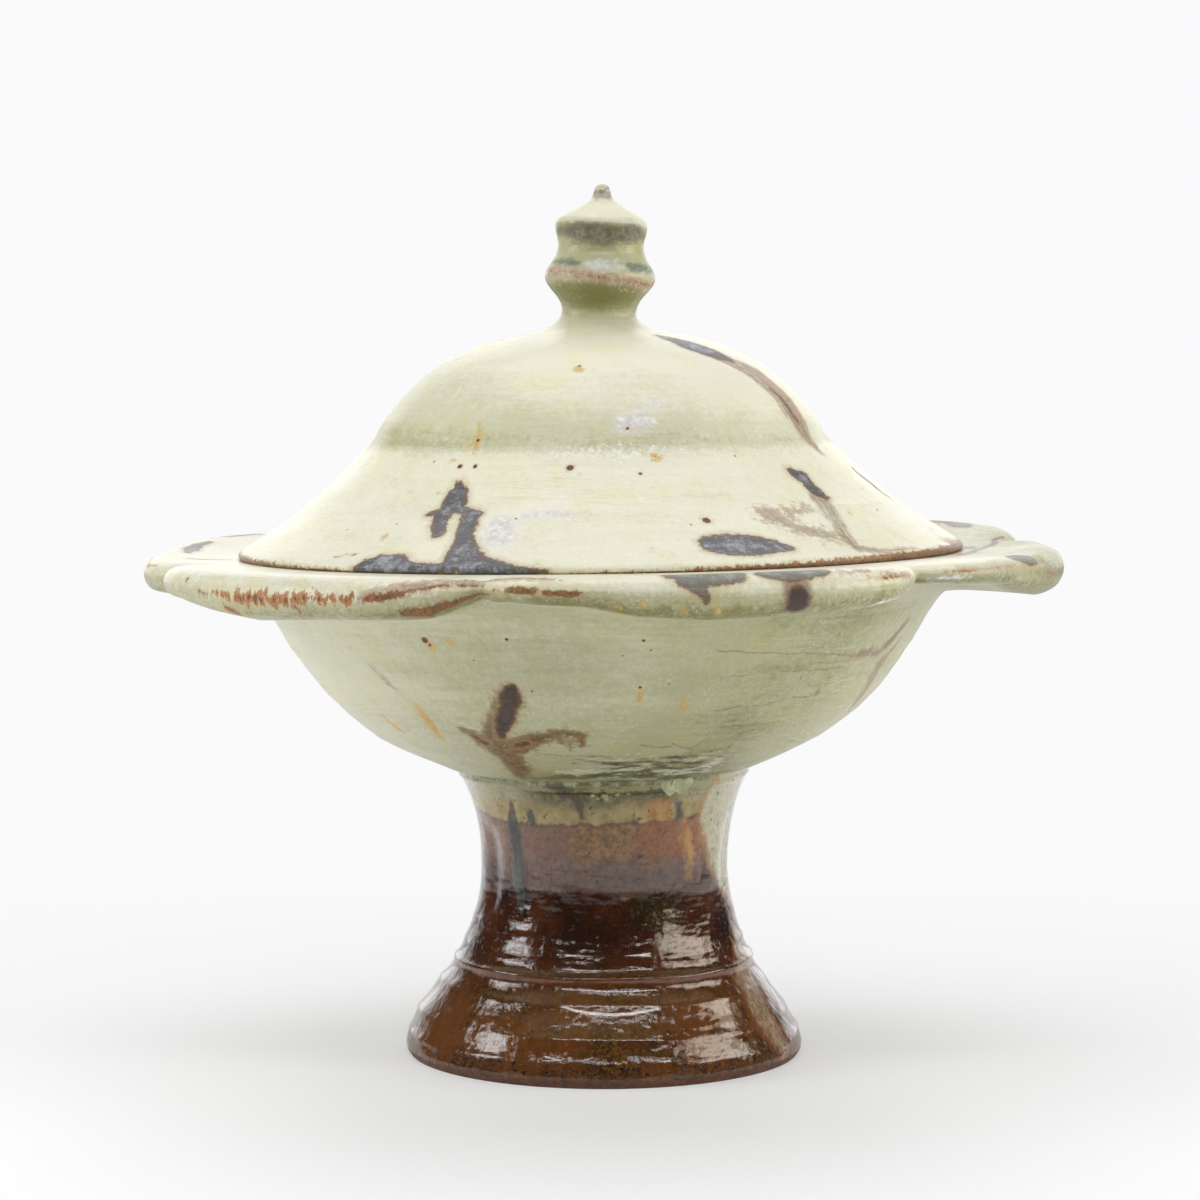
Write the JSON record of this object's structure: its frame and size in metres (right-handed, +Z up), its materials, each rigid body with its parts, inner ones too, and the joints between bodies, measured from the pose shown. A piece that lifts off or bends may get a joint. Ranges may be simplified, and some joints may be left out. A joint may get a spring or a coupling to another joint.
{
  "type": "bonbon dish",
  "caption": "Lidded stoneware bonbon dish: a bowl with a rim of pinched petals on a hollow flared foot, and a domed lid with a turned knob that lifts off.",
  "frame": {"origin": "centre of the foot's standing face, on the table", "axes": "+Z up along the axis of the wheel, +X to the right and -Y towards the viewer of the pictured side"},
  "size_m": [0.2106, 0.2106, 0.1996],
  "materials": {
    "pale_glaze": "pale straw and celadon ash glaze, silky, with brushed iron marks and rust breaks on the edges",
    "brown_glaze": "glossy iron brown glaze with ochre runs under the bowl",
    "bare_clay": "unglazed toasted stoneware, matt"
  },
  "bodies": {
    "dish": {"pedestal_foot": "brown_glaze", "bowl": "pale_glaze", "petal_rim": "pale_glaze"},
    "lid": {"lid_dome": "pale_glaze", "locating_ring": "bare_clay", "knob": "pale_glaze"}
  },
  "joints": [
    {"name": "lid_lift", "type": "slide", "parent": "dish", "child": "lid", "axis": [0, 0, 1], "range_m": [0, 0.12]}
  ]
}
